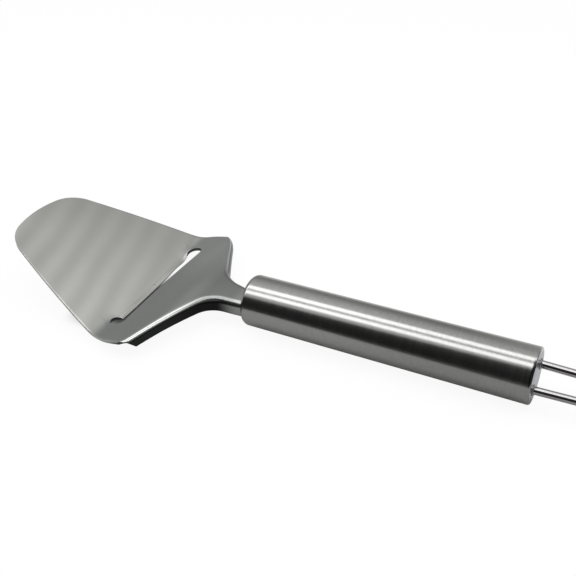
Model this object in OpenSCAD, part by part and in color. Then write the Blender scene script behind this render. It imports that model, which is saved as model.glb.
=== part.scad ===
// Cheese slicer with a stamped steel head, a tubular handle and a wire hanging loop.
// Lengths are in millimetres. The handle lies along X with the slicing head towards -X,
// and +Z is up. The origin is on the table, under the middle of the whole slicer.
// Inside the modules the piece is drawn on the handle's axis, with X = 0 at the handle's mouth.

/* [Handle] */
// Outer diameter of the handle tube
handle_d = 18; // [16:0.5:22]
// Length of the handle tube
handle_len = 98; // [80:1:130]
// Wall of the handle tube
tube_wall = 1.2; // [0.7:0.1:1.5]
// Radius of the rolled front edge of the tube
shoulder_r = 1.8; // [1.6:0.1:2]
// Radius of the small round on the tube's back edge
back_edge_r = 1; // [0.4:0.1:1.1]

/* [Slicing plate] */
// Distance from the handle's mouth to the plate's root, beside the slot
plate_x = 41.6; // [41:0.2:42.4]
// Length of the plate from its root to the tip, along the plate
plate_len = 56.8; // [50:0.2:68]
// Full width of the plate at its root
plate_w = 70; // [64:0.4:80]
// Angle of each side of the plate to the centre line
side_taper = 17.8; // [12:0.2:20]
// How far the middle of each side bulges past a straight line
side_bow = 0.6; // [0:0.1:1]
// Radius of the rounded tip
tip_r = 45; // [38:1:52]
// Radius of the two corners between the tip and the sides
tip_corner_r = 13; // [8:0.5:16]
// Angle at which the plate rises from the slot to the tip
plate_rise = 21; // [15:1:25]
// Thickness of the steel sheet, measured straight down
sheet_t = 1.2; // [1:0.1:1.5]

/* [Slot] */
// Distance from the handle's mouth to the middle of the cutting edge
edge_x = 41.05; // [40.5:0.05:41.8]
// Angle at which the ground cutting edge runs askew
edge_skew = 2; // [0:0.1:2.5]
// How far the middle of the cutting edge bows towards the handle
edge_bow = 0.7; // [0.1:0.1:1]
// Distance from the handle's mouth to the centres of the round slot ends
hole_x = 40; // [39.7:0.1:40.5]
// Distance of each round slot end from the centre line
hole_y = 24.2; // [20:0.2:25.4]
// Diameter of the round slot ends
hole_d = 6.2; // [5.8:0.2:6.8]
// How far the middle of the frame's front edge bows into the slot
lip_bow = 0.2; // [0:0.1:0.5]
// Width of the ground strip along the top of the cutting edge
bevel_w = 1.3; // [0.8:0.1:1.5]
// How far the ground strip drops to the edge
bevel_drop = 0.2; // [0.1:0.05:0.3]
// Height of the flat land between the ground strip and the bevel under it
edge_land = 0.4; // [0.2:0.05:0.6]
// Width of the bevel under the cutting edge
under_bevel = 1.2; // [0.8:0.1:1.5]

/* [Frame and neck] */
// Distance from the handle's mouth to the bend between the frame and the plate
bend_x = 43.3; // [43:0.1:44.5]
// Height of the neck's top above the handle's axis
neck_top = 0.6; // [0:0.1:1]
// Angle at which the neck rises from the handle
neck_rise = 7; // [4:1:9]
// Angle at which the frame falls to the slot
frame_fall = 19; // [15:1:22]
// Distance from the handle's mouth to the knee between the neck and the frame
knee_x = 20.1; // [18:0.1:23]
// Full width of the neck in the handle's mouth
neck_w = 10; // [9:0.2:10.2]
// Angle at which each side of the neck spreads towards the frame
neck_spread = 9; // [6:1:12]
// Plan radius of the cove between the neck and each ear
cove_r = 10.5; // [8.5:0.5:12]
// Full width over the ears, at the sheet's flat
ear_w = 72.8; // [68:0.4:80]
// Distance from the handle's mouth to the back corner of each ear
ear_back = 28.6; // [27.6:0.2:29.6]
// Angle of each ear's back edge to the centre line
ear_sweep = 62.5; // [58:0.5:66]
// Angle at which the back edges of the two ears run askew
ear_skew = 1.7; // [0:0.1:2]
// How far the corner of each ear droops
ear_droop = 1.6; // [0:0.1:2]
// Outer radius of the fold between the sheet and the flange
fold_r = 2.4; // [2:0.1:2.8]
// Height of the folded flange at the ears
flange_h = 4.4; // [4:0.1:5]
// Angle of the flange's cut end to the sheet
flange_lean = 50; // [45:1:70]
// Height of the folded flange at the neck
neck_h = 5.2; // [4.8:0.1:5.4]
// Length of the tang inside the handle
tang_len = 22; // [15:1:35]

/* [Plug and end cap] */
// Thickness of the front plug behind the tube's rolled edge
plug_t = 2.5; // [1.5:0.5:4]
// Thickness of the end cap
cap_t = 3; // [1.6:0.2:4]
// Leg of the weld fillet round each foot of the loop
weld_leg = 0.6; // [0.3:0.1:0.8]

/* [Hanging loop] */
// Diameter of the loop's wire
wire_d = 2.2; // [1.8:0.1:2.6]
// Distance between the loop's legs at the end cap, centre to centre
loop_w = 8.5; // [8:0.1:9.5]
// Angle at which each leg leans inwards
leg_lean = 1.2; // [0.5:0.1:2]
// Length of the loop outside the end cap
loop_len = 31; // [24:1:40]
// Turn of the loop about the handle's axis
loop_roll = 33; // [25:1:35]
// Length of each leg inside the end cap and the handle
leg_in = 6; // [4:1:12]

/* [Hidden] */

$fn = 96;
// Gap between a disc and the tube's bore, and between a wire and its hole
fit_gap = 0.08;
// Gap between the neck and the opening in the front plug
neck_gap = 0.12;
// Width of the weld's top round each foot of the loop
weld_top = 0.25;
// How deep each weld runs into the end cap
weld_sink = 0.6;
// How far a cutting shape runs past what it cuts
overrun = 2;

// Blends of the head's profile: their reach along X
level_blend = 1.2;
knee_blend = 3;
bend_blend = 1.4;
// Blend between the plate's side and the ear, measured across
ear_blend = 0.5;
// Distance in front of the mouth where the neck runs level into the handle
neck_level = 2;
// How far in front of the bend the profile's rows begin
bend_reach = 6.5;
// Width over which the straight plate turns into the bent sheet, as a share of the hole's radius
bar_share = 2.4;
// Where each ear begins to droop, from the centre line and from the bend
droop_y = 22;
droop_reach = 15;
// Distance behind the slot over which the skew of the ears sets in
skew_reach = 7;
// Length and radius of the core that joins each leg of the loop to its bend
core_len = 0.8;
core_share = 0.6;

tube_r = handle_d / 2;
bore_r = tube_r - tube_wall;
mouth_r = tube_r - shoulder_r;
ear_half = ear_w / 2;
neck_half = neck_w / 2;
hole_r = hole_d / 2;

// Height of the sheet's top over the handle's axis, at a distance s in front of the mouth.
// soft() is a rounded ramp: zero well before d = 0, and d well after it.
function soft(d, reach) = d > 30 * reach ? d : reach * ln(1 + exp(d / reach));
function frame_top(s) = neck_top + tan(neck_rise) * soft(s - neck_level, level_blend)
    - (tan(neck_rise) + tan(frame_fall)) * soft(s - knee_x, knee_blend);
function plate_top(s) = frame_top(bend_x) + tan(plate_rise) * (s - bend_x);
function bar_top(s) = frame_top(s) + (tan(frame_fall) + tan(plate_rise)) * soft(s - bend_x, bend_blend);
function step01(t) = let(u = max(0, min(1, t))) u * u * (3 - 2 * u);
// Inside the slot's width the plate stays flat up to the cutting edge. Outside it the sheet is bent.
bar_from = hole_y - hole_r;
function droop(s, y) = ear_droop * step01((abs(y) - droop_y) / (ear_half - droop_y))
    * step01((bend_x - s) / droop_reach);
function top_z(s, y) = let(k = step01((abs(y) - bar_from) / (bar_share * hole_r)))
    (1 - k) * (s > hole_x ? plate_top(s) : frame_top(s)) + k * bar_top(s) - droop(s, y);

// Outline of the plate in its own plane: u runs from its root to the tip, v is half its width
tip_c = plate_len - tip_r;
side_k = plate_w / 2 - tip_corner_r / cos(side_taper);
quad_a = 1 + pow(tan(side_taper), 2);
quad_b = -2 * tip_c - 2 * side_k * tan(side_taper);
quad_c = tip_c * tip_c + side_k * side_k - pow(tip_r - tip_corner_r, 2);
corner_u = (-quad_b + sqrt(quad_b * quad_b - 4 * quad_a * quad_c)) / (2 * quad_a);
corner_v = side_k - corner_u * tan(side_taper);
side_end_u = corner_u + tip_corner_r * sin(side_taper);
side_angle = 90 - side_taper;
tip_angle = atan2(corner_v, corner_u - tip_c);
function plate_side(u) = let(t = max(0, u / side_end_u))
    plate_w / 2 - u * tan(side_taper) + 4 * side_bow * t * (1 - t);
function plate_s(u) = plate_x + u * cos(plate_rise);
function plate_u(s) = (s - plate_x) / cos(plate_rise);
function side_y(s) = let(v = plate_side(plate_u(s))) v - soft(v - ear_half, ear_blend);

// Back outline, on the outer face of the flange: ear edge, cove and neck side
function unit(a) = [cos(a), sin(a)];
function out_of(a) = [-sin(a), cos(a)];
ear_d = out_of(ear_sweep) * [ear_back, ear_half];
neck_d = out_of(neck_spread) * [neck_level, neck_half];
cove_det = sin(ear_sweep - neck_spread);
cove_c = [((neck_d + cove_r) * cos(ear_sweep) - cos(neck_spread) * (ear_d + cove_r)) / cove_det,
    (-sin(neck_spread) * (ear_d + cove_r) + sin(ear_sweep) * (neck_d + cove_r)) / cove_det];
function cove_pt(a) = cove_c - (cove_r + fold_r) * out_of(a);
// Where the fold begins, one fold radius inside that outline
ear_in = [ear_back, ear_half] - fold_r * out_of(ear_sweep);
fold_start = ear_in + unit(ear_sweep) * (ear_half - ear_in[1]) / sin(ear_sweep);
neck_in = [neck_level, neck_half] - fold_r * out_of(neck_spread);

// Rows of the head: [place of the row's outer end, place of its middle on the centre line, angle].
// The angle is that of the back outline there, and -1 means that the row has no flange.
function between(a, b, t) = a + (b - a) * t;
bend_rows = 18;
fan_rows = 5;
ear_rows = 12;
cove_rows = 12;
neck_rows = 4;
slot_back = hole_x - hole_r;
spine_fan = fold_start[0] + fold_r;
spine_cove = cove_pt(ear_sweep)[0] + fold_r;
spine_neck = cove_pt(neck_spread)[0];
rows = concat(
    [for (i = [0:bend_rows]) let(s = between(bend_x + bend_reach, slot_back, i / bend_rows))
        [[s, side_y(s)], s, -1]],
    [for (i = [1:fan_rows - 1]) let(t = i / fan_rows, s = between(slot_back, fold_start[0], t))
        [[s, side_y(s)], between(slot_back, spine_fan, t), -1]],
    [for (i = [0:ear_rows - 1]) let(t = i / ear_rows)
        [between(fold_start, cove_pt(ear_sweep), t), between(spine_fan, spine_cove, t), ear_sweep]],
    [for (i = [0:cove_rows]) let(t = i / cove_rows, a = between(ear_sweep, neck_spread, t))
        [cove_pt(a), between(spine_cove, spine_neck, t), a]],
    [for (i = [1:neck_rows - 1]) let(t = i / neck_rows)
        [between(cove_pt(neck_spread), neck_in, t), between(spine_neck, neck_level, t), neck_spread]],
    [for (s = [neck_level, neck_level / 2, 0, -neck_level, -tang_len])
        [[s, neck_half - fold_r], s, 0]]);
last = len(rows) - 1;
flange_row = bend_rows + fan_rows;

// Columns of the head, from the centre line to the sheet's edge, round the fold and down the flange
column_shares = [0, 0.25, 0.5, 0.58, 0.62, 0.66, 0.7, 0.74, 0.8, 0.86, 0.93, 1];
fold_steps = 6;
flange_steps = 2;
flat_cols = len(column_shares) - 1;
cols = flat_cols + fold_steps + flange_steps;

// How far the back of the head runs askew
function skewed(s, y) = y * tan(ear_skew) * step01((slot_back - s) / skew_reach);
function row_flange_h(i) = between(flange_h, neck_h, step01((i - flange_row) / (last - flange_row)));
// Point of the sheet's top or under face at row i and column c. depth is 0 on top, sheet_t under it.
// The blank's side runs on past the fold, so the flange's end leans towards the neck.
function sheet_pt(i, c, depth) = let(
    row = rows[i], side = c < 0 ? -1 : 1, n = abs(c), fold = n > flat_cols && row[2] >= 0,
    share = column_shares[min(n, flat_cols)],
    turn = fold ? min(n - flat_cols, fold_steps) * 90 / fold_steps : 0,
    down = fold ? max(0, n - flat_cols - fold_steps) / flange_steps : 0,
    folded = fold_r * turn * PI / 180 + down * (row_flange_h(i) - fold_r),
    lean = fold ? max(0, 1 - (i - flange_row) / ear_rows) * folded / tan(flange_lean) * unit(row[2]) : [0, 0],
    flat = [between(row[1], row[0][0], share), row[0][1] * share] - lean,
    p = flat + [skewed(flat[0], side * flat[1]), 0],
    reach = fold_r - depth, out = fold ? out_of(row[2]) * sin(turn) : [0, 0],
    crest = p + out * fold_r, q = p + out * reach)
    [-q[0], side * q[1], top_z(crest[0], crest[1]) - depth
        - (1 - cos(turn)) * reach - down * (row_flange_h(i) - fold_r)];

// Outline of the plate from the first row on the +Y side round the tip to the -Y side
side_steps = 8;
corner_steps = 10;
tip_steps = 10;
first_u = plate_u(bend_x + bend_reach);
half_outline = concat(
    [for (i = [1:side_steps - 1]) let(u = between(first_u, side_end_u, i / side_steps)) [u, plate_side(u)]],
    [for (i = [0:corner_steps]) let(a = between(side_angle, tip_angle, i / corner_steps))
        [corner_u + tip_corner_r * cos(a), corner_v + tip_corner_r * sin(a)]],
    [for (i = [1:tip_steps]) let(a = tip_angle * (1 - i / tip_steps)) [tip_c + tip_r * cos(a), tip_r * sin(a)]]);
half_n = len(half_outline);
outline = concat(half_outline, [for (i = [half_n - 2:-1:0]) [half_outline[i][0], -half_outline[i][1]]]);
outline_n = len(outline);
function outline_pt(i, depth) = let(s = plate_s(outline[i][0])) [-s, outline[i][1], plate_top(s) - depth];

// Numbers of the corners, in the order in which head_points lists them
row_n = 2 * cols + 1;
grid_n = (last + 1) * row_n;
function top_i(i, c) = i * row_n + c + cols;
function under_i(i, c) = grid_n + top_i(i, c);
function rim_top_i(k) = 2 * grid_n + k;
function rim_under_i(k) = 2 * grid_n + outline_n + k;
function row_cols(i) = i < flange_row ? flat_cols : cols;
function quad(a, b, c, d) = [[a, b, c], [a, c, d]];

head_points = concat(
    [for (i = [0:last]) for (c = [-cols:cols]) sheet_pt(i, c, 0)],
    [for (i = [0:last]) for (c = [-cols:cols]) sheet_pt(i, c, sheet_t)],
    [for (k = [0:outline_n - 1]) outline_pt(k, 0)],
    [for (k = [0:outline_n - 1]) outline_pt(k, sheet_t)]);

// The rim of the plate's flat runs round the outline and back along the first row
rim_top = concat([top_i(0, flat_cols)], [for (k = [0:outline_n - 1]) rim_top_i(k)],
    [for (c = [-flat_cols:flat_cols - 1]) top_i(0, c)]);
rim_under = concat([under_i(0, flat_cols)], [for (k = [0:outline_n - 1]) rim_under_i(k)],
    [for (c = [-flat_cols:flat_cols - 1]) under_i(0, c)]);
rim_n = len(rim_top);
apex = half_n;

head_faces = concat(
    [for (i = [0:last - 1]) let(m = row_cols(i)) for (c = [-m:m - 1])
        for (f = quad(top_i(i, c), top_i(i, c + 1), top_i(i + 1, c + 1), top_i(i + 1, c))) f],
    [for (i = [0:last - 1]) let(m = row_cols(i)) for (c = [-m:m - 1])
        for (f = quad(under_i(i, c), under_i(i + 1, c), under_i(i + 1, c + 1), under_i(i, c + 1))) f],
    [for (i = [0:last - 1]) let(m = row_cols(i)) for (f = concat(
        quad(top_i(i, m), under_i(i, m), under_i(i + 1, m), top_i(i + 1, m)),
        quad(top_i(i, -m), top_i(i + 1, -m), under_i(i + 1, -m), under_i(i, -m)))) f],
    [for (c = [flat_cols:cols - 1]) for (f = concat(
        quad(top_i(flange_row, c), under_i(flange_row, c), under_i(flange_row, c + 1), top_i(flange_row, c + 1)),
        quad(top_i(flange_row, -c), top_i(flange_row, -c - 1), under_i(flange_row, -c - 1),
            under_i(flange_row, -c)))) f],
    [for (c = [-cols:cols - 1])
        for (f = quad(top_i(last, c), top_i(last, c + 1), under_i(last, c + 1), under_i(last, c))) f],
    [for (k = [0:rim_n - 1]) let(n = (k + 1) % rim_n) if (k != apex && n != apex)
        [rim_top[apex], rim_top[n], rim_top[k]]],
    [for (k = [0:rim_n - 1]) let(n = (k + 1) % rim_n) if (k != apex && n != apex)
        [rim_under[apex], rim_under[k], rim_under[n]]],
    [for (k = [0:outline_n]) for (f = quad(rim_top[k], rim_top[k + 1], rim_under[k + 1], rim_under[k])) f]);

// Places of the whole slicer, for its origin
tip_reach = plate_s(plate_len);
whole_front = -tip_reach;
whole_back = handle_len + loop_len;
module seat() translate([-(whole_front + whole_back) / 2, 0, tube_r]) children();
module along_x() rotate([0, 90, 0]) children();

// The slot seen from above: the ground cutting edge, the frame's slightly bowed lip and two round ends
slot_steps = 12;
slot_y = [for (i = [0:slot_steps]) between(-hole_y, hole_y, i / slot_steps)];
function edge_s(y) = edge_x + y * tan(edge_skew) + edge_bow * pow(y / hole_y, 2);
function lip_s(y) = slot_back + lip_bow * (1 - pow(y / hole_y, 2));
module slot_outline() {
    polygon(concat([for (y = slot_y) [-edge_s(y), y]],
        [for (i = [slot_steps:-1:0]) [-lip_s(slot_y[i]), slot_y[i]]]));
    for (side = [-1, 1]) translate([-hole_x, side * hole_y]) circle(r = hole_r);
}

// A cutter that runs along the edge. Each section is a list of [s, z], all of one length.
module along_edge(sections, ys) {
    n = len(sections[0]);
    m = len(ys);
    polyhedron(
        points = [for (j = [0:m - 1]) for (p = sections[j]) [-p[0], ys[j], p[1]]],
        faces = concat([[for (k = [n - 1:-1:0]) k]], [[for (k = [0:n - 1]) (m - 1) * n + k]],
            [for (j = [0:m - 2]) for (k = [0:n - 1]) let(l = (k + 1) % n)
                for (f = quad(j * n + k, j * n + l, (j + 1) * n + l, (j + 1) * n + k)) f]),
        convexity = 4);
}

// What is ground off the cutting edge: a shallow strip on top and a steeper bevel under it
ground_half = hole_y - hole_r / 2;
ground_y = [for (i = [0:slot_steps]) between(-ground_half, ground_half, i / slot_steps)];
function strip_section(e) = let(a = e + bevel_w, z = plate_top(e) - bevel_drop)
    [[a, plate_top(a)], [e, z], [e - overrun, z], [e - overrun, z + overrun], [a, plate_top(a) + overrun]];
function under_section(e) = let(a = e + under_bevel, z = plate_top(e) - bevel_drop - edge_land)
    [[e, z], [a, plate_top(a) - sheet_t], [a, z - overrun], [e - overrun, z - overrun], [e - overrun, z]];

module blade_head() color([0.72, 0.73, 0.73]) seat() difference() {
    polyhedron(points = head_points, faces = head_faces, convexity = 8);
    translate([0, 0, -handle_d]) linear_extrude(2 * handle_d) slot_outline();
    along_edge([for (y = ground_y) strip_section(edge_s(y))], ground_y);
    along_edge([for (y = ground_y) under_section(edge_s(y))], ground_y);
}

// Half profile of a cup with a rounded floor corner: its floor is at zero, r is its outer radius
module cup_profile(r, length, corner) {
    translate([0, corner]) square([r, length - corner]);
    square([r - corner, corner]);
    translate([r - corner, corner]) circle(r = corner);
}

module handle_tube() color([0.66, 0.66, 0.65]) seat() along_x() rotate_extrude() {
    difference() {
        intersection() {
            cup_profile(tube_r, handle_len + overrun, shoulder_r);
            translate([0, handle_len]) mirror([0, 1]) cup_profile(tube_r, handle_len + overrun, back_edge_r);
            square([tube_r, handle_len]);
        }
        translate([0, tube_wall]) cup_profile(bore_r, handle_len, shoulder_r - tube_wall);
        square([mouth_r, 2 * tube_wall]);
    }
}

// Section of the neck's channel, seen along the handle, grown by a gap
module neck_outer(gap) {
    w = neck_w + 2 * gap;
    r = fold_r + gap;
    top = frame_top(0) + gap;
    low = frame_top(0) - neck_h - gap;
    translate([-w / 2, low]) square([w, top - r - low]);
    translate([-w / 2 + r, low]) square([w - 2 * r, top - low]);
    for (side = [-1, 1]) translate([side * (w / 2 - r), top - r]) circle(r = r);
}
module neck_inner(gap) {
    w = neck_w - 2 * sheet_t - 2 * gap;
    r = fold_r - sheet_t - gap;
    top = frame_top(0) - sheet_t - gap;
    low = frame_top(0) - neck_h - overrun;
    translate([-w / 2, low]) square([w, top - r - low]);
    translate([-w / 2 + r, low]) square([w - 2 * r, top - low]);
    for (side = [-1, 1]) translate([side * (w / 2 - r), top - r]) circle(r = r);
}

module front_plug() color([0.6, 0.6, 0.6]) seat() difference() {
    along_x() rotate_extrude() {
        translate([0, tube_wall]) cup_profile(bore_r - fit_gap, plug_t, shoulder_r - tube_wall);
        square([mouth_r - fit_gap, tube_wall]);
    }
    translate([-overrun, 0, 0]) rotate([90, 0, 90]) linear_extrude(tube_wall + plug_t + 2 * overrun)
        difference() {
            neck_outer(neck_gap);
            neck_inner(neck_gap);
        }
}

// The loop drawn flat: each leg leans in from its foot on the end cap and runs into the round bend
leg_y = loop_w / 2;
wire_r = wire_d / 2;
bend_reach_x = loop_len - wire_r;
bend_r = (leg_y * cos(leg_lean) - bend_reach_x * sin(leg_lean)) / (1 - sin(leg_lean));
bend_c = bend_reach_x - bend_r;
leg_len = (bend_c + bend_r * sin(leg_lean)) / cos(leg_lean);
module at_feet() for (side = [-1, 1]) rotate([loop_roll, 0, 0]) translate([handle_len, side * leg_y, 0])
    rotate([0, 0, -side * leg_lean]) along_x() children();

module end_cap() color([0.62, 0.64, 0.66]) seat() difference() {
    union() {
        translate([handle_len - cap_t, 0, 0]) along_x() cylinder(r = bore_r - fit_gap, h = cap_t);
        at_feet() translate([0, 0, -weld_sink])
            cylinder(r1 = wire_r + weld_leg + weld_sink, r2 = wire_r + weld_top, h = weld_sink + weld_leg);
    }
    at_feet() translate([0, 0, -cap_t - overrun]) cylinder(r = wire_r + fit_gap, h = cap_t + 2 * overrun);
}

module hanging_loop() color([0.8, 0.8, 0.8]) seat() {
    at_feet() translate([0, 0, -leg_in]) cylinder(r = wire_r, h = leg_in + leg_len);
    at_feet() translate([0, 0, leg_len - core_len]) cylinder(r = core_share * wire_r, h = 2 * core_len);
    rotate([loop_roll, 0, 0]) translate([handle_len + bend_c, 0, 0]) rotate([0, 0, leg_lean - 90])
        rotate_extrude(angle = 180 - 2 * leg_lean) translate([bend_r, 0]) circle(r = wire_r);
}

blade_head();
handle_tube();
front_plug();
end_cap();
hanging_loop();
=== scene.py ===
from math import atan2, cos, exp, log, pi, radians, sin, sqrt, tan

import bmesh
import bpy
from mathutils import Matrix, Vector


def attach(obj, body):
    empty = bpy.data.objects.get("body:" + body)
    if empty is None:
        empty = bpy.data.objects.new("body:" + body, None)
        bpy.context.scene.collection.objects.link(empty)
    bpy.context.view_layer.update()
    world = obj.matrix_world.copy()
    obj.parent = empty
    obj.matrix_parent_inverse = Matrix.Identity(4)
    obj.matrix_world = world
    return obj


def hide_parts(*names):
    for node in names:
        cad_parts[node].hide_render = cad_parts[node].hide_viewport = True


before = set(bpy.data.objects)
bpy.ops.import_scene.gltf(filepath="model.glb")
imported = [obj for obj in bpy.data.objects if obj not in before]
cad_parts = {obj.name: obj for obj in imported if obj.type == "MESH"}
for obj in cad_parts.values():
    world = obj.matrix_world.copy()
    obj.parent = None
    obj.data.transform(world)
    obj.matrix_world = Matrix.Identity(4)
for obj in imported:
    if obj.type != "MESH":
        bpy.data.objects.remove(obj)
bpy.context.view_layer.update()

# All sizes are in millimetres and degrees, as in the part's source. The handle's mouth is at X = 0.
# Along the head, s runs from the mouth towards the blade's tip, and y towards the far side.
MM = 0.001
MOUTH_X = -17.186
AXIS_Z = 9.0

# Handle tube and end cap
handle_r = 9.0
handle_len = 98.0
tube_wall = 1.2
shoulder_r = 1.8
back_edge_r = 0.7
bore_r = handle_r - tube_wall
cap_t = 1.9
cap_gap = 0.02
cap_chamfer = 0.15

# Slicing plate
sheet_t = 1.2
sheet_edge_r = 0.16
plate_x = 41.6
plate_len = 56.8
plate_half = 35.0
plate_rise = 21.0
side_taper = 17.8
side_bow = 0.6
side_soft = 0.5
tip_r = 45.0
tip_corner_r = 13.0

# Cutting edge and slot
edge_x = 41.05
edge_skew = 2.0
edge_bow = 0.7
edge_land = 0.4
bevel_w = 1.3
bevel_drop = 0.2
under_bevel = 1.2
bevel_stop = 1.2
hole_x = 40.0
hole_y = 24.2
hole_r = 3.1
lip_bow = 0.2
slot_back = hole_x - hole_r

# The slot's far end differs from the near one: shorter, flatter, higher, with its edge set back
far_short = 1.0
far_squash = 0.78
far_level = 2.6
far_edge = 0.6
far_edge_from = 12.0
far_edge_run = 9.0
far_grows_from = 11.0
far_grows_run = 10.0
far_fades_to = 34.0
far_fades_run = 7.0
far_reach = 9.0

# Bend between plate and frame, and how it runs out past the slot's ends
bend_x = 43.3
bend_blend = 1.4
bend_start = bend_x + 6.5
joint_w = 2.4 * hole_r

# Frame, neck and tang
neck_top = 0.6
neck_level = 2.0
neck_rise = 7.0
neck_soft = 1.2
neck_half = 5.0
neck_spread = 9.0
neck_h = 5.2
knee_x = 20.1
knee_soft = 3.0
frame_fall = 19.0
cove_r = 10.5
tang_len = 22.0

# Ears and their folded flange
ear_half = 36.4
ear_back = 28.6
ear_sweep = 62.5
ear_skew = 1.7
ear_skew_run = 7.0
ear_droop = 1.6
droop_soft = 6.0
droop_run = 15.0
far_corner = 4.0
fold_r = 2.4
flange_h = 4.4
flange_lean = 50.0

# Hanging loop and its weld beads
wire_r = 1.28
wire_sag = 0.25
leg_y = 4.25
leg_lean = 1.2
leg_inside = 1.5
loop_len = 31.0
loop_roll = 33.0
bead_r = 0.42
bead_gap = 0.1
bead_lift = 0.02

# How finely the sheet is divided: columns over half its width, and rows from the tip to the tang
SLOT_COLS, ROUND_COLS, OUTER_COLS = 14, 20, 9
SLOT_END = SLOT_COLS + ROUND_COLS
FLAT = SLOT_END + OUTER_COLS
FOLD, FLANGE = 9, 3
COLS = FLAT + FOLD + FLANGE
CORNER_ROWS, PLATE_ROWS, BEND_ROWS, LIP_ROWS = 12, 18, 16, 15
EAR_ROWS, COVE_ROWS, NECK_ROWS = 26, 24, 8
TANG_ROWS = (2.0, 1.5, 1.0, 0.5, 0.0, -2.0, -8.0, -tang_len)

# How near a point lies to a plane to be on it, in metres
TOUCH = 1e-6


def place(x, y, z):
    """A point of the source's frame in Blender's, in metres."""
    return Vector(((MOUTH_X + x) * MM, y * MM, (AXIS_Z + z) * MM))


def between(a, b, t):
    return a + (b - a) * t


def smooth01(t):
    t = max(0.0, min(1.0, t))
    return t * t * (3 - 2 * t)


def soft(d, reach):
    """0 below 0 and d above it, with a soft turn. Far out it is d itself."""
    return d if d > 30 * reach else reach * log(1 + exp(d / reach))


def slope(angle):
    return tan(radians(angle))


def unit(angle):
    return Vector((cos(radians(angle)), sin(radians(angle))))


def out_of(angle):
    return Vector((-sin(radians(angle)), cos(radians(angle))))


# Levels of the stamped sheet

def frame_top(s):
    """The neck rises from the mouth, and the frame falls from the knee to the slot."""
    rise = slope(neck_rise) * soft(s - neck_level, neck_soft)
    fall = (slope(neck_rise) + slope(frame_fall)) * soft(s - knee_x, knee_soft)
    return neck_top + rise - fall


def plate_top(s):
    return frame_top(bend_x) + slope(plate_rise) * (s - bend_x)


def joint_top(s):
    """Past the slot's ends the frame turns into the plate in a soft bend."""
    return frame_top(s) + (slope(frame_fall) + slope(plate_rise)) * soft(s - bend_x, bend_blend)


def top_z(s, y):
    """Level of the sheet's top face, with the ears drooping towards their corners."""
    k = smooth01((abs(y) - (hole_y - hole_r)) / joint_w)
    flat = plate_top(s) if s > hole_x else frame_top(s)
    arch = (sqrt(y * y + droop_soft ** 2) - droop_soft) / (
        sqrt(ear_half ** 2 + droop_soft ** 2) - droop_soft)
    droop = ear_droop * arch * smooth01((bend_x - s) / droop_run)
    return (1 - k) * flat + k * joint_top(s) - droop


# Outline of the plate. Its corner's round touches the side and the tip's arc, and the round's
# centre (corner_u, corner_v) solves a quadratic.
tip_c = plate_len - tip_r
side_k = plate_half - tip_corner_r / cos(radians(side_taper))
qa = 1 + slope(side_taper) ** 2
qb = -2 * tip_c - 2 * side_k * slope(side_taper)
qc = tip_c ** 2 + side_k ** 2 - (tip_r - tip_corner_r) ** 2
corner_u = (-qb + sqrt(qb * qb - 4 * qa * qc)) / (2 * qa)
corner_v = side_k - corner_u * slope(side_taper)
side_end_u = corner_u + tip_corner_r * sin(radians(side_taper))
side_angle = radians(90 - side_taper)
tip_angle = atan2(corner_v, corner_u - tip_c)


def plate_s(u):
    """From a distance u along the rising plate to s."""
    return plate_x + u * cos(radians(plate_rise))


def plate_side(u):
    t = max(0.0, u / side_end_u)
    return plate_half - u * slope(side_taper) + 4 * side_bow * t * (1 - t)


def side_y(s):
    """Half the width of the sheet at s, from the plate's side to the ear's."""
    v = plate_side((s - plate_x) / cos(radians(plate_rise)))
    return v - soft(v - ear_half, side_soft)


def corner_point(angle):
    return Vector((plate_s(corner_u + tip_corner_r * cos(angle)), corner_v + tip_corner_r * sin(angle)))


# Outline of the ears and the neck. The cove between them touches both.
ear_d = out_of(ear_sweep).dot(Vector((ear_back, ear_half)))
neck_d = out_of(neck_spread).dot(Vector((neck_level, neck_half)))
cove_det = sin(radians(ear_sweep - neck_spread))
cove_c = Vector((
    ((neck_d + cove_r) * cos(radians(ear_sweep))
     - cos(radians(neck_spread)) * (ear_d + cove_r)) / cove_det,
    (-sin(radians(neck_spread)) * (ear_d + cove_r)
     + sin(radians(ear_sweep)) * (neck_d + cove_r)) / cove_det))


def cove_pt(angle):
    """Where the sheet starts to fold, round the cove."""
    return cove_c - (cove_r + fold_r) * out_of(angle)


ear_in = Vector((ear_back, ear_half)) - fold_r * out_of(ear_sweep)
fold_start = ear_in + unit(ear_sweep) * (ear_half - ear_in.y) / sin(radians(ear_sweep))
neck_in = Vector((neck_level, neck_half)) - fold_r * out_of(neck_spread)


def edge_at(y):
    """The cutting edge runs slightly askew and bowed across the slot."""
    bow = edge_bow * (y / hole_y) ** 2 - far_edge * smooth01((y - far_edge_from) / far_edge_run)
    return edge_x + y * slope(edge_skew) + bow


def skewed(s, y):
    """How far the back of the head runs askew at (s, y)."""
    return y * slope(ear_skew) * smooth01((slot_back - s) / ear_skew_run)


def far_end(s, y):
    """1 round the far end of the slot, 0 away from it."""
    grows = smooth01((y - far_grows_from) / far_grows_run)
    fades = smooth01((far_fades_to - y) / far_fades_run)
    return grows * fades * smooth01(1.3 - abs(s - hole_x) / far_reach)


def flat_point(rows, i, share, side):
    """A point (s, y) of the sheet at row i, and the y that its level is read at."""
    p = rows[i][0](share, side)
    near_hole = far_end(p.x, side * p.y)
    level_y = p.y + far_level * near_hole
    p.y -= far_short * near_hole
    return p, level_y


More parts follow.
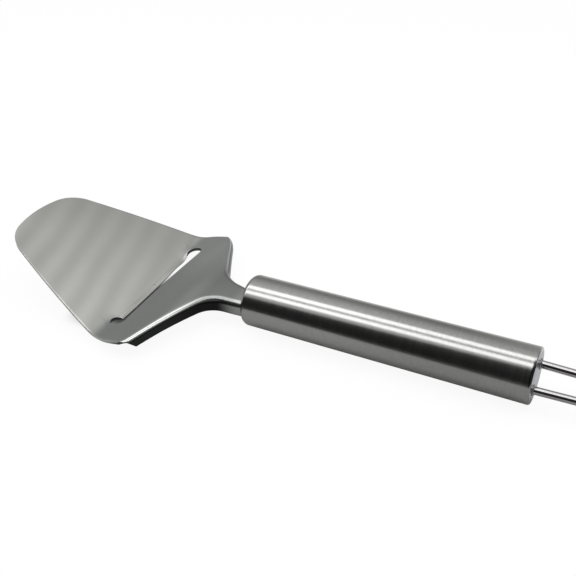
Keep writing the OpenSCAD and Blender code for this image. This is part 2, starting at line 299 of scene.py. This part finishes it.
def rounded(s, y, side):
    """The corner of the far ear is rounder than the near one's."""
    if side < 0:
        return s, y
    start = ear_half - far_corner
    back = ear_back - (ear_half - y) / slope(ear_sweep)
    out = max(0.0, min(1.0, (y - start) / far_corner))
    behind = max(0.0, min(1.0, 1 - (s - back) / far_corner))
    if out == 0 or behind == 0:
        return s, y
    new_y = start + far_corner * out * sqrt(1 - behind ** 2 / 2)
    new_back = ear_back - (ear_half - new_y) / slope(ear_sweep)
    return new_back + far_corner * (1 - behind * sqrt(1 - out ** 2 / 2)), new_y


def cut_front(y):
    """Front of the slot at y: the cutting edge, then the round end."""
    d = abs(y) - hole_y
    if abs(d) >= hole_r:
        return edge_at(y) if d < 0 else hole_x
    round_s = hole_x + sqrt(hole_r ** 2 - d * d) * (far_squash if y > 0 else 1)
    return max(edge_at(y), round_s) if d < 0 else round_s


def cut_back(y):
    """Back of the slot at y: the bowed lip, then the round end."""
    d = abs(y) - hole_y
    if d <= 0:
        lip_r = (hole_y ** 2 + lip_bow ** 2) / (2 * lip_bow)
        return slot_back + lip_bow - lip_r + sqrt(lip_r ** 2 - y * y)
    return hole_x - sqrt(max(0.0, hole_r ** 2 - d * d))


# Rows and columns of the stamped sheet

def half_columns():
    """Shares of the half width: even, with more beside the round end of the slot."""
    edge = side_y(hole_x)
    shares = [i / SLOT_COLS * (hole_y - hole_r) / edge for i in range(SLOT_COLS)]
    shares += [(hole_y - hole_r * cos(pi * i / ROUND_COLS)) / edge for i in range(ROUND_COLS + 1)]
    last = shares[-1]
    shares += [between(last, 1.0, i / OUTER_COLS) for i in range(1, OUTER_COLS + 1)]
    return shares


SHARES = half_columns()


def tip_curve(share):
    """Far edge of the plate, from its middle to halfway round the corner, as (s, y)."""
    arc = tip_r * tip_angle
    turn = (side_angle - tip_angle) / 2
    run = share * (arc + tip_corner_r * turn)
    if run < arc:
        a = run / tip_r
        return Vector((plate_s(tip_c + tip_r * cos(a)), tip_r * sin(a)))
    return corner_point(tip_angle + (run - arc) / tip_corner_r)


def plate_ends():
    """Where each row of the plate ends on its side, from halfway round the corner to the bend."""
    half_turn = (side_angle + tip_angle) / 2
    turns = [between(half_turn, side_angle, i / CORNER_ROWS) for i in range(CORNER_ROWS + 1)]
    ends = [corner_point(turn) for turn in turns]
    for i in range(1, PLATE_ROWS + 1):
        s = between(plate_s(side_end_u), bend_start, i / PLATE_ROWS)
        ends.append(Vector((s, side_y(s))))
    return ends


def head_rows():
    """Each row is a function from a column's share and side to a point (s, y), with the angle of
    its flange or None."""
    rows = []
    sides = plate_ends()
    first, last = sides[0], sides[-1]
    for end in sides:
        w = (first.x - end.x) / (first.x - last.x)

        def plate_row(share, side, w=w, end=end):
            far = tip_curve(share)
            near = Vector((last.x, last.y * share))
            slip = end - (first * (1 - w) + last * w)
            return far * (1 - w) + near * w + slip * share
        rows.append((plate_row, None))
    meet = Vector((hole_x, side_y(hole_x)))
    for i in range(1, BEND_ROWS + 1):
        t = i / BEND_ROWS
        s = between(bend_start, hole_x, t)

        def bend_row(share, side, t=t, end=Vector((s, side_y(s)))):
            far = Vector((bend_start, last.y * share))
            near = Vector((cut_front(side * meet.y * share), meet.y * share))
            slip = end - (last * (1 - t) + meet * t)
            return far * (1 - t) + near * t + slip * share
        rows.append((bend_row, None))
    spine_fan = fold_start.x + fold_r
    for i in range(LIP_ROWS):
        t = i / LIP_ROWS
        s = between(hole_x, fold_start.x, t)

        def lip_row(share, side, t=t, end=Vector((s, side_y(s)))):
            far = Vector((cut_back(meet.y * share), meet.y * share))
            near = Vector((between(spine_fan, fold_start.x, share), fold_start.y * share))
            slip = end - (meet * (1 - t) + fold_start * t)
            return far * (1 - t) + near * t + slip * share
        rows.append((lip_row, None))
    # behind the slot each row is a straight line, from the spine out to where the fold starts
    spine_cove = cove_pt(ear_sweep).x + fold_r
    spine_neck = cove_pt(neck_spread).x
    lines = []
    for i in range(EAR_ROWS):
        t = i / EAR_ROWS
        lines.append((between(fold_start, cove_pt(ear_sweep), t),
                      between(spine_fan, spine_cove, t), ear_sweep))
    for i in range(COVE_ROWS + 1):
        angle = between(ear_sweep, neck_spread, i / COVE_ROWS)
        lines.append((cove_pt(angle), between(spine_cove, spine_neck, i / COVE_ROWS), angle))
    for i in range(1, NECK_ROWS):
        lines.append((between(cove_pt(neck_spread), neck_in, i / NECK_ROWS),
                      between(spine_neck, neck_level, i / NECK_ROWS), neck_spread))
    for s in TANG_ROWS:
        lines.append((Vector((s, neck_half - fold_r)), s, 0.0))
    for end, spine, angle in lines:
        def back_row(share, side, end=end, spine=spine):
            return Vector((between(spine, end.x, share), end.y * share))
        rows.append((back_row, angle))
    return rows


def head_point(rows, first_flange, i, c, depth):
    """Point of the sheet's top (depth 0) or under face (depth sheet_t) at row i and column c."""
    angle = rows[i][1]
    side = -1 if c < 0 else 1
    n = abs(c)
    p, level_y = flat_point(rows, i, SHARES[min(n, FLAT)], side)
    if n <= FLAT or angle is None:
        p.x += skewed(p.x, side * p.y)
        s, y = rounded(p.x, p.y, side)
        return place(-s, side * y, top_z(p.x, level_y) - depth)
    turn = radians(90 * min(n - FLAT, FOLD) / FOLD)
    down = max(0, n - FLAT - FOLD) / FLANGE
    out = out_of(angle) * sin(turn)
    reach = fold_r - depth
    along = (i - first_flange) / (len(rows) - 1 - first_flange)
    height = between(flange_h, neck_h, smooth01(along))
    # the blank's side runs straight on past the fold, so the flange's end leans towards the neck
    folded = fold_r * turn + down * (height - fold_r)
    lean = max(0.0, 1 - (i - first_flange) / EAR_ROWS) * folded / tan(radians(flange_lean))
    p = p - unit(angle) * lean
    p.x += skewed(p.x, side * p.y)
    crest = p + out * fold_r
    q = p + out * reach
    z = top_z(crest.x, crest.y) - fold_r + reach * cos(turn) - down * (height - fold_r)
    s, y = rounded(q.x, q.y, side)
    return place(-s, side * y, z)


# Small tools for modelling

def deselect_all():
    for ob in bpy.context.selected_objects:
        ob.select_set(False)


def take(ob):
    """Makes ob the one piece that the next operators act on."""
    deselect_all()
    bpy.context.view_layer.objects.active = ob
    ob.select_set(True)


def start_edit(ob):
    take(ob)
    bpy.ops.object.mode_set(mode="EDIT")
    bpy.ops.mesh.select_all(action="DESELECT")


def end_edit():
    bpy.ops.object.mode_set(mode="OBJECT")


def pick(ob, kind, test):
    """Selects only those faces or edges of ob, in edit mode, that pass the test."""
    bpy.ops.mesh.select_all(action="DESELECT")
    bpy.ops.mesh.select_mode(type=kind)
    mesh = bmesh.from_edit_mesh(ob.data)
    mesh.normal_update()
    for item in (mesh.faces if kind == "FACE" else mesh.edges):
        if test(item):
            item.select_set(True)
    mesh.select_flush_mode()
    bmesh.update_edit_mesh(ob.data)


def pick_ring(ob, x):
    """Selects the edges that lie across the handle's axis at x."""
    pick(ob, "EDGE", lambda edge: all(abs(v.co.x - x) < TOUCH for v in edge.verts))


def pick_disc(ob, x):
    """Selects the round face that closes the tube at x."""
    pick(ob, "FACE", lambda face: abs(face.verts[0].co.x - x) < TOUCH and len(face.verts) > 8)


def push(distance):
    """Extrudes what is selected along the handle's axis."""
    bpy.ops.mesh.extrude_region_move(TRANSFORM_OT_translate={"value": (distance * MM, 0, 0)})


def turn_faces_out():
    bpy.ops.mesh.select_all(action="SELECT")
    bpy.ops.mesh.normals_make_consistent(inside=False)


def settle(ob, name):
    """Puts the object's place into its mesh."""
    take(ob)
    bpy.ops.object.transform_apply(location=True, rotation=True, scale=True)
    ob.name = name
    ob.data.name = name


def smooth(ob, angle):
    take(ob)
    bpy.ops.object.shade_smooth_by_angle(angle=radians(angle))


# Stamped head

def grind_edge(mesh, rows, slot_row):
    """The cutting edge: a shallow facet on top, a steep one under it, and a thin land between."""
    row_of, col_of = mesh.verts.layers.int["row"], mesh.verts.layers.int["col"]
    for v in mesh.verts:
        c = abs(v[col_of])
        behind = slot_row - v[row_of]
        if c >= SLOT_END or behind not in (0, 1) or SHARES[c] > (hole_y - bevel_stop) / side_y(hole_x):
            continue
        under = v.select
        thick = sheet_t if under else 0
        side = -1 if v[col_of] < 0 else 1
        p, level_y = flat_point(rows, slot_row, SHARES[c], side)
        sharp = edge_at(side * p.y)
        if behind:
            s = max(sharp + (under_bevel if under else bevel_w), p.x)
            drop = thick
        else:
            s = max(p.x, sharp)
            ground = min(1.0, max(0.0, (sharp + bevel_w - s) / bevel_w))
            drop = ground * (bevel_drop + (edge_land if under else 0)) + (1 - ground) * thick
        v.co = place(-s, side * p.y, top_z(s, level_y) - drop)


def make_head():
    """A flat grid loses the blank's waste, is bent to its shape, made a sheet, and ground."""
    rows = head_rows()
    first_flange = next(i for i, row in enumerate(rows) if row[1] is not None)
    slot_row = len(plate_ends()) + BEND_ROWS - 1
    n_rows = len(rows) - 1
    deselect_all()
    bpy.ops.mesh.primitive_grid_add(x_subdivisions=n_rows, y_subdivisions=2 * COLS, size=1)
    ob = bpy.context.object
    start_edit(ob)
    mesh = bmesh.from_edit_mesh(ob.data)
    row_of = mesh.verts.layers.int.new("row")
    col_of = mesh.verts.layers.int.new("col")
    for v in mesh.verts:
        v[row_of] = round((v.co.x + 0.5) * n_rows)
        v[col_of] = round((v.co.y + 0.5) * 2 * COLS) - COLS
    # the blank's waste: the slot, and the corners in front of the folded flanges
    for face in mesh.faces:
        i = min(v[row_of] for v in face.verts)
        c = min(abs(v[col_of]) for v in face.verts)
        if i == slot_row and c < SLOT_END or i < first_flange and c >= FLAT:
            face.select_set(True)
    bmesh.update_edit_mesh(ob.data)
    bpy.ops.mesh.delete(type="FACE")
    mesh = bmesh.from_edit_mesh(ob.data)
    row_of, col_of = mesh.verts.layers.int["row"], mesh.verts.layers.int["col"]
    for v in mesh.verts:
        v.co = head_point(rows, first_flange, v[row_of], v[col_of], 0)
    bmesh.update_edit_mesh(ob.data)
    # thickness of the sheet: the top is extruded and its copy becomes the under face
    bpy.ops.mesh.select_all(action="SELECT")
    bpy.ops.mesh.extrude_region()
    mesh = bmesh.from_edit_mesh(ob.data)
    row_of, col_of = mesh.verts.layers.int["row"], mesh.verts.layers.int["col"]
    for v in mesh.verts:
        if v.select:
            v.co = head_point(rows, first_flange, v[row_of], v[col_of], sheet_t)
    grind_edge(mesh, rows, slot_row)
    bmesh.update_edit_mesh(ob.data)
    bpy.ops.mesh.select_all(action="SELECT")
    bpy.ops.mesh.remove_doubles(threshold=TOUCH)
    bpy.ops.mesh.dissolve_degenerate(threshold=TOUCH)
    turn_faces_out()
    end_edit()
    take(ob)
    round_edges = ob.modifiers.new("edges", "BEVEL")
    round_edges.width = sheet_edge_r * MM
    round_edges.segments = 2
    round_edges.limit_method = "ANGLE"
    round_edges.angle_limit = radians(42)
    round_edges.harden_normals = False
    bpy.ops.object.modifier_apply(modifier=round_edges.name)
    settle(ob, "stamped_head")
    smooth(ob, 30)
    return ob


# Turned and bent pieces

def make_tube():
    deselect_all()
    bpy.ops.mesh.primitive_cylinder_add(
        vertices=160, radius=handle_r * MM, depth=handle_len * MM,
        location=place(handle_len / 2, 0, 0), rotation=(0, pi / 2, 0))
    ob = bpy.context.object
    settle(ob, "handle_tube_shell")
    front, back = place(0, 0, 0).x, place(handle_len, 0, 0).x
    start_edit(ob)
    # the shoulder, a hair under its full size, and the finer round of the back rim
    pick_ring(ob, front)
    bpy.ops.mesh.bevel(offset=shoulder_r * MM * 0.999, segments=14, affect="EDGES", clamp_overlap=False)
    pick_ring(ob, back)
    bpy.ops.mesh.bevel(offset=back_edge_r * MM, segments=12, affect="EDGES", clamp_overlap=False)
    # the mouth goes in by the wall, and the bore as far as there from the back
    pick_disc(ob, front)
    push(tube_wall)
    pick_disc(ob, back)
    bpy.ops.mesh.inset(thickness=(tube_wall - back_edge_r) * MM)
    push(tube_wall - handle_len)
    # where the two meet, their floors are cut out and the rims joined
    inner = place(tube_wall, 0, 0).x
    pick_disc(ob, inner)
    bpy.ops.mesh.delete(type="FACE")
    pick_ring(ob, inner)
    bpy.ops.mesh.bridge_edge_loops()
    turn_faces_out()
    end_edit()
    smooth(ob, 35)
    return ob


def make_bead(side):
    """The weld round one foot of the loop: a low ring that swells and thins a little."""
    deselect_all()
    foot = place(handle_len + bead_lift, side * leg_y * cos(radians(loop_roll)),
                 side * leg_y * sin(radians(loop_roll)) - wire_sag)
    bpy.ops.mesh.primitive_torus_add(
        location=foot, rotation=(0, pi / 2, 0), major_segments=56, minor_segments=16,
        major_radius=(wire_r + bead_gap) * MM, minor_radius=bead_r * MM)
    bead = bpy.context.object
    settle(bead, "weld_bead")
    start_edit(bead)
    mesh = bmesh.from_edit_mesh(bead.data)
    for v in mesh.verts:
        turn = atan2(v.co.z - foot.z, v.co.y - foot.y)
        out = Vector((0, v.co.y - foot.y, v.co.z - foot.z)).normalized()
        swell = 0.05 * sin(5 * turn + side) + 0.035 * sin(11 * turn + 2 * side)
        v.co += out * swell * MM * (1 if v.co.x > foot.x else 0.5)
    bmesh.update_edit_mesh(bead.data)
    end_edit()
    smooth(bead, 60)
    return bead


def make_cap():
    """The end cap: a turned disc with a fine chamfer, and a weld bead round each foot of the loop."""
    deselect_all()
    bpy.ops.mesh.primitive_cylinder_add(
        vertices=128, radius=(bore_r - cap_gap) * MM, depth=cap_t * MM,
        location=place(handle_len - cap_t / 2, 0, 0), rotation=(0, pi / 2, 0))
    ob = bpy.context.object
    settle(ob, "end_cap_disc")
    start_edit(ob)
    pick_ring(ob, place(handle_len, 0, 0).x)
    bpy.ops.mesh.bevel(offset=cap_chamfer * MM, segments=3, affect="EDGES")
    end_edit()
    smooth(ob, 40)
    beads = [make_bead(side) for side in (-1, 1)]
    take(ob)
    for bead in beads:
        bead.select_set(True)
    bpy.ops.object.join()
    return ob


def make_loop():
    """The wire: its round section is pulled out along a leg, spun round the bend and pulled back."""
    lean = radians(leg_lean)
    reach = loop_len - wire_r
    bend_r = (leg_y * cos(lean) - reach * sin(lean)) / (1 - sin(lean))
    bend_c = reach - bend_r
    leg = (bend_c + bend_r * sin(lean)) / cos(lean)
    start = Vector((-leg_inside * cos(lean), leg_y + leg_inside * sin(lean), 0)) * MM
    away = Vector((cos(lean), -sin(lean), 0)) * (leg_inside + leg) * MM
    back = Vector((-cos(lean), -sin(lean), 0)) * (leg_inside + leg) * MM
    deselect_all()
    bpy.ops.mesh.primitive_circle_add(
        vertices=40, radius=wire_r * MM, fill_type="NGON", location=start,
        rotation=(0, pi / 2, -lean))
    ob = bpy.context.object
    settle(ob, "hanging_wire")
    start_edit(ob)
    bpy.ops.mesh.select_mode(type="FACE")
    bpy.ops.mesh.select_all(action="SELECT")
    bpy.ops.mesh.extrude_region_move(TRANSFORM_OT_translate={"value": tuple(away)})
    bpy.ops.mesh.spin(steps=48, angle=pi - 2 * lean, center=(bend_c * MM, 0, 0), axis=(0, 0, 1))
    bpy.ops.mesh.extrude_region_move(TRANSFORM_OT_translate={"value": tuple(back)})
    bpy.ops.mesh.select_all(action="SELECT")
    bpy.ops.mesh.remove_doubles(threshold=TOUCH / 10)
    turn_faces_out()
    end_edit()
    roll = Matrix.Rotation(radians(loop_roll), 4, "X")
    ob.matrix_world = Matrix.Translation(place(handle_len, 0, -wire_sag)) @ roll
    settle(ob, "hanging_wire")
    smooth(ob, 40)
    return ob


# Finishes

class Signal:
    """A value in a shader, with the sums and products that the finishes use."""

    def __init__(self, nodes, socket):
        self.nodes = nodes
        self.socket = socket

    def maths(self, operation, *values):
        return self.nodes.add("ShaderNodeMath", {"operation": operation}, dict(enumerate(values)))

    def __add__(self, other):
        return self.maths("ADD", self, other)

    __radd__ = __add__

    def __sub__(self, other):
        return self.maths("SUBTRACT", self, other)

    def __rsub__(self, other):
        return self.maths("SUBTRACT", other, self)

    def __mul__(self, other):
        return self.maths("MULTIPLY", self, other)

    __rmul__ = __mul__

    def __truediv__(self, other):
        return self.maths("DIVIDE", self, other)

    def __abs__(self):
        return self.maths("ABSOLUTE", self)

    def root(self):
        return self.maths("SQRT", self)

    def cosine(self):
        return self.maths("COSINE", self)

    def larger(self, other):
        return self.maths("MAXIMUM", self, other)

    def ramp(self, low, high, to_low=0.0, to_high=1.0):
        """A soft step from one value to another."""
        return self.nodes.add(
            "ShaderNodeMapRange", {"interpolation_type": "SMOOTHSTEP"},
            {0: self, 1: low, 2: high, 3: to_low, 4: to_high})

    def part(self, name):
        return Signal(self.nodes, self.socket.node.outputs[name])


class Nodes:
    """The nodes of one finish."""

    def __init__(self, tree):
        self.tree = tree

    def add(self, kind, settings=None, values=None, output=0):
        node = self.tree.nodes.new(kind)
        for name, value in (settings or {}).items():
            setattr(node, name, value)
        for key, value in (values or {}).items():
            if isinstance(value, Signal):
                self.tree.links.new(value.socket, node.inputs[key])
            else:
                node.inputs[key].default_value = value
        return Signal(self, node.outputs[output]) if node.outputs else None


def finish_nodes(name):
    material = bpy.data.materials.new(name)
    material.use_nodes = True
    material.node_tree.nodes.clear()
    return material, Nodes(material.node_tree)


def piece_point(nodes):
    """The point in the piece's own frame, in metres."""
    return nodes.add("ShaderNodeTexCoord", output="Object")


def split(nodes, vector):
    """A vector's parts along X, Y and Z."""
    return nodes.add("ShaderNodeSeparateXYZ", None, {0: vector})


def noise(nodes, point, scale, detail, rough=0.5):
    return nodes.add("ShaderNodeTexNoise", None, {
        "Vector": point, "Scale": scale, "Detail": detail, "Roughness": rough})


def stretched(nodes, point, scale, detail, rough=0.5):
    """Noise stretched along one or two axes, for brushing and grain."""
    spread = nodes.add("ShaderNodeVectorMath", {"operation": "MULTIPLY"}, {0: point, 1: scale})
    return noise(nodes, spread, 1.0, detail, rough)


def mixed(nodes, factor, first, second):
    """From the first colour to the second, each three numbers or a colour already mixed."""
    first, second = (c if isinstance(c, Signal) else (*c, 1) for c in (first, second))
    return nodes.add("ShaderNodeMix", {"data_type": "RGBA"}, {0: factor, 6: first, 7: second}, output=2)


def steel(nodes, colour, roughness, height, strength, distance=0.00002):
    bump = nodes.add("ShaderNodeBump", None, {
        "Strength": strength, "Distance": distance, "Height": height})
    shader = nodes.add("ShaderNodeBsdfPrincipled", None, {
        "Base Color": colour, "Metallic": 1.0, "Roughness": roughness, "Normal": bump})
    nodes.add("ShaderNodeOutputMaterial", None, {0: shader})


def sheet_finish():
    """Satin plate with uneven belt marks, polished frame, ground strip and rougher cut walls. Shade is
    painted on the cut walls, the flange, the neck and the plate's far side and tip, and light on the
    frame's far side.
    """
    material, nodes = finish_nodes("satin_and_polished_sheet")
    point = piece_point(nodes)
    axes = split(nodes, point)
    s = MOUTH_X - axes.part("X") / MM
    y = axes.part("Y") / MM
    clouds = noise(nodes, point, 55.0, 3.0)
    soft_clouds = noise(nodes, point, 28.0, 1.0)
    pits = noise(nodes, point, 9000.0, 2.0)
    grain = stretched(nodes, point, (700.0, 9000.0, 700.0), 3.0)
    set_back = y.ramp(far_edge_from, far_edge_from + far_edge_run, 0.0, far_edge)
    edge = edge_x + y * slope(edge_skew) + y * y * (edge_bow / hole_y ** 2) - set_back
    behind_edge = s - edge
    # the satin ends in a soft curve that swings round the slot's ends
    border = bend_x - 0.6 + abs(y).ramp(20, 33, 0.0, 2.2) + (clouds - 0.5) * 1.5
    plate = (s - border).ramp(-1.1, 1.1)
    beside_slot = abs(y).ramp(hole_y - 2.2, hole_y - 1.2, 1.0, 0.0)
    plate = plate.larger(behind_edge.ramp(-0.1, 0.1) * beside_slot)
    # belt marks run nearly along the slot, wavering a little, and are weaker on the far side
    mark_pitch, mark_slant, first_mark, wander = 9.4, 0.26, 49.6, 3.5
    marks = (s - mark_slant * y - first_mark + (soft_clouds - 0.5) * wander) * (2 * pi / mark_pitch)
    belt = marks.cosine() * y.ramp(-30, 26, 1.0, 0.45)
    # painted shade: besides the belt marks, the plate is painted darker towards its far side and
    # towards its tip, for the dimmer light it mirrors there
    shade = 1.05 + belt * 0.085 - y.ramp(-6, 30, 0.0, 0.13) - s.ramp(52, 94, 0.0, 0.10)
    # the strip ground along the cutting edge, ruled along it, and the fine line behind it
    strip = behind_edge.ramp(bevel_w - 0.1, bevel_w + 0.1, 1.0, 0.0) * plate
    line = behind_edge.ramp(bevel_w - 0.05, bevel_w + 0.1)
    line = line * behind_edge.ramp(bevel_w + 0.15, bevel_w + 0.35, 1.0, 0.0) * plate
    rule = stretched(nodes, point, (5200.0, 60.0, 2000.0), 1.0)
    shade = shade * (1 + strip * ((rule - 0.5) * 1.5 + 0.06) - line * 0.16)
    # the cut walls of the slot, along it and round its two ends, are rougher and carry painted shade
    wall = behind_edge.ramp(0.02, 0.06, 1.0, 0.0) * (s - slot_back).ramp(0.0, 0.1)
    wall = wall * abs(y).ramp(hole_y - 2.0, hole_y - 1.0, 1.0, 0.0) * y.ramp(-6, 8, 1.0, 0.5)
    reach_x, reach_y = s - hole_x, abs(y + far_short / 2) - (hole_y - far_short / 2)
    reach_x = reach_x * (1 + reach_x.ramp(0, 0.1) * y.ramp(-1, 1) * (1 / far_squash - 1))
    ring = (reach_x * reach_x + reach_y * reach_y).root()
    wall = wall.larger(ring.ramp(hole_r + 0.02, hole_r + 0.07, 1.0, 0.0))
    # painted shade: the flange is painted dark where the fold stands upright, for the dark it mirrors,
    # but not on the ears' side edges
    upright = split(nodes, nodes.add("ShaderNodeNewGeometry", output="Normal")).part("Z")
    flange = abs(upright).ramp(0.45, 0.70, 1.0, 0.0) * s.ramp(5, 10.5) * s.ramp(36, 38, 1.0, 0.0)
    flange = flange * abs(y).ramp(ear_half - 0.4, ear_half - 0.2, 1.0, 0.0)
    tone = clouds * 0.4 + grain * 0.6
    satin = (0.50 + tone * 0.10) * shade
    # painted shade: the polished frame is painted darker along the neck, a little less so right at the
    # mouth
    painted_neck_shade = s.ramp(14, 22, 0.58, 1.0) + s.ramp(2, 7, 0.24, 0.0)
    # painted light: the polished frame is painted brighter towards its far side
    polished = (0.55 + tone * 0.05) * painted_neck_shade * y.ramp(-5, 25, 1.0, 1.16)
    # painted shade: the cut walls and the flange are painted darker here
    level = (plate * satin + (1 - plate) * polished) * (1 - wall * 0.86) * (1 - flange * 0.93)
    # the satin is a little warm, the polished steel a little green
    colour = nodes.add("ShaderNodeCombineColor", None, {
        0: level * (0.971 + plate * 0.029), 1: level * 1.004, 2: level * (0.973 - plate * 0.018)})
    satin_rough = 0.28 + clouds * 0.08
    polished_rough = 0.13 + clouds * 0.04 + s.ramp(8, 26, 0.08, 0.0)
    roughness = plate * satin_rough + (1 - plate) * polished_rough + wall * 0.25
    height = plate * (grain * 0.6 + pits * 0.4) + (1 - plate) * pits * 0.15 + strip * rule * 1.5
    steel(nodes, colour, roughness, height, 0.35)
    return material


def tube_finish():
    """Fine brushing round the tube, with painted light towards the mouth and a painted dark reflection
    on the upper near side of the back rim.
    """
    material, nodes = finish_nodes("brushed_tube")
    point = piece_point(nodes)
    axes = split(nodes, point)
    along = axes.part("X")
    lines = stretched(nodes, point, (9000.0, 160.0, 160.0), 4.0, 0.6)
    bands = stretched(nodes, point, (900.0, 60.0, 60.0), 3.0)
    streaks = stretched(nodes, point, (2600.0, 700.0, 700.0), 2.0)
    # painted light: the tube is painted lighter towards the mouth
    fall = along.ramp(0.0, 0.06, 1.0, 0.0)
    brushing_and_painted_light = lines * 0.4 + bands * 0.25 + (streaks - 0.5) * 0.8 + fall * 0.35
    tone = mixed(nodes, brushing_and_painted_light, (0.372, 0.373, 0.363), (0.55, 0.552, 0.537))
    # painted reflection: the rounded rim at the back is painted dark on its upper near side, for the
    # dark it mirrors there
    end = place(handle_len, 0, 0).x
    facing = (axes.part("Z") - AXIS_Z * MM) * cos(radians(47)) - axes.part("Y") * sin(radians(47))
    rim = along.ramp(end - 0.0010, end - 0.0007) * facing.ramp(0.0076, 0.0085)
    tone = mixed(nodes, rim, tone, (0.05, 0.05, 0.055))
    steel(nodes, tone, 0.13 + bands * 0.10, lines * 0.7 + bands * 0.3, 0.25)
    return material


def turned_finish(name, dark, light, rough):
    """Fine rings round the handle's axis."""
    material, nodes = finish_nodes(name)
    axes = split(nodes, piece_point(nodes))
    across, up = axes.part("Y"), axes.part("Z") - AXIS_Z * MM
    radius = (across * across + up * up).root()
    ring = nodes.add("ShaderNodeCombineXYZ", None, {0: radius * 9000.0, 1: across * 90.0, 2: up * 90.0})
    lines = noise(nodes, ring, 1.0, 3.0)
    steel(nodes, mixed(nodes, lines, dark, light), rough + lines * 0.12, lines, 0.3)
    return material


def wire_finish():
    """Bright drawn wire with faint lines along it."""
    material, nodes = finish_nodes("polished_wire")
    lines = stretched(nodes, piece_point(nodes), (60.0, 6000.0, 6000.0), 2.0)
    tone = mixed(nodes, lines, (0.44, 0.43, 0.43), (0.54, 0.53, 0.53))
    steel(nodes, tone, 0.05 + lines * 0.06, lines, 0.1, 0.00001)
    return material


# The slicer

sheet = sheet_finish()
tube = tube_finish()
turned = turned_finish("turned_cap", (0.24, 0.255, 0.275), (0.34, 0.36, 0.39), 0.22)
plug_steel = turned_finish("plain_plug", (0.20, 0.20, 0.20), (0.30, 0.30, 0.30), 0.35)
wire = wire_finish()

head = make_head()
shell = make_tube()
cap = make_cap()
loop = make_loop()
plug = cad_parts["front_plug"]

for piece, material, node, slot in (
        (head, sheet, "blade_head", "sheet_steel"), (shell, tube, "handle_tube", "tube_steel"),
        (cap, turned, "end_cap", "cap_steel"), (loop, wire, "hanging_loop", "wire_steel")):
    piece.data.materials.clear()
    piece.data.materials.append(material)
    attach(piece, "root")
    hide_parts(node)
for i in range(len(plug.data.materials)):
    plug.data.materials[i] = plug_steel


# Floor, light and camera

def floor_finish():
    """A pale floor, and apart from it what the steel mirrors: a bright sweep behind the slicer,
    and darkness under the head and over the floor's far front."""
    material, nodes = finish_nodes("pale_floor")
    rays = nodes.add("ShaderNodeLightPath")
    axes = split(nodes, piece_point(nodes))
    right, back = axes.part("X"), axes.part("Y")
    sweep = back.ramp(-0.01, 0.03, 0.05, 0.52) * back.ramp(0.03, 0.10, 1.0, 0.6)
    sweep = sweep * right.ramp(-0.042, -0.032, 0.4, 1.0)
    # a white card by the end cap, and a fainter one that lights the near ear's edge
    sweep = sweep.larger(right.ramp(0.075, 0.082) * back.ramp(-0.004, 0.004) * 0.6)
    sweep = sweep.larger(right.ramp(-0.060, -0.050, 1.0, 0.0) * back.ramp(-0.075, -0.060) * 0.4)
    lit = right.ramp(-0.050, -0.040) * back.ramp(-0.085, -0.050) + back.ramp(-0.002, 0.01)
    # painted shadow: under the near half of the head the floor is painted in deep shade
    shade = back.ramp(-0.030, -0.020) * back.ramp(0.002, 0.015, 1.0, 0.0)
    shade = shade * right.ramp(-0.084, -0.072) * right.ramp(-0.056, -0.044, 1.0, 0.0)
    seen_directly = rays.part("Is Camera Ray")
    mirrored = (rays.part("Is Glossy Ray") + rays.part("Is Transmission Ray")) * (1 - seen_directly)
    bright = seen_directly * 0.80 * (1 - shade * 0.94) + mirrored * sweep
    dim = mirrored * (1 - lit) * 0.96 + seen_directly * shade * 0.8
    grey, black = (0.50,) * 3, (0.0,) * 3
    matt = nodes.add("ShaderNodeBsdfDiffuse", None, {"Color": mixed(nodes, dim, grey, black)})
    white = nodes.add("ShaderNodeEmission", None, {"Color": (1, 1, 1, 1), "Strength": 1.16})
    both = nodes.add("ShaderNodeMixShader", None, {0: bright, 1: matt, 2: white})
    nodes.add("ShaderNodeOutputMaterial", None, {0: both})
    return material


def light_room():
    """A white room to the eye. For the steel it is grey: brighter above and behind the slicer,
    and dark in front, less so low down at the right."""
    world = bpy.data.worlds.new("studio")
    bpy.context.scene.world = world
    world.use_nodes = True
    world.node_tree.nodes.clear()
    nodes = Nodes(world.node_tree)
    axes = split(nodes, nodes.add("ShaderNodeTexCoord", output="Generated"))
    right, back, up = axes.part("X"), axes.part("Y"), axes.part("Z")
    slant = (back * -1) / up.larger(0.05) + right * 0.96
    opening = right.ramp(0.05, 0.30) * up.ramp(0.55, 0.75, 1.0, 0.0)
    dark = slant.ramp(0.41, 0.63) * (1 - opening * 0.85)
    high = up.ramp(0.30, 0.95)
    behind = right.ramp(-0.20, 0.0) * back.ramp(0.80, 0.93)
    room = (0.30 + 0.40 * high + 0.25 * behind) * (1 - 0.93 * dark)
    seen_directly = nodes.add("ShaderNodeLightPath").part("Is Camera Ray")
    level = room * (1 - seen_directly) + seen_directly
    backdrop = nodes.add("ShaderNodeBackground", None, {0: (1, 1, 1, 1), 1: level})
    nodes.add("ShaderNodeOutputWorld", None, {0: backdrop})


def softbox(name, location, size, power, turn):
    light = bpy.data.lights.new(name, "AREA")
    light.shape = "RECTANGLE"
    light.size, light.size_y = size
    light.energy = power
    ob = bpy.data.objects.new(name, light)
    bpy.context.scene.collection.objects.link(ob)
    ob.location = location
    ob.rotation_euler = (0, 0, radians(turn))


deselect_all()
bpy.ops.mesh.primitive_plane_add(size=6, location=(0, 0, 0))
floor = bpy.context.object
settle(floor, "floor")
floor.data.materials.append(floor_finish())

light_room()
softbox("overhead_back", (-0.15, 0.093, 0.70), (1.6, 0.182), 1.55, 13)
softbox("overhead_front", (-0.15, -0.225, 0.70), (1.6, 0.18), 1.5, 13)

camera = bpy.data.cameras.new("camera")
camera.lens = 50.0
camera.sensor_width = 36.0
camera_ob = bpy.data.objects.new("camera", camera)
bpy.context.scene.collection.objects.link(camera_ob)
camera_ob.location = (0.10652, -0.19003, 0.17001)
camera_ob.rotation_euler = (radians(55.153), radians(2.967), radians(27.749))
bpy.context.scene.camera = camera_ob

bpy.context.scene.view_settings.view_transform = "Standard"
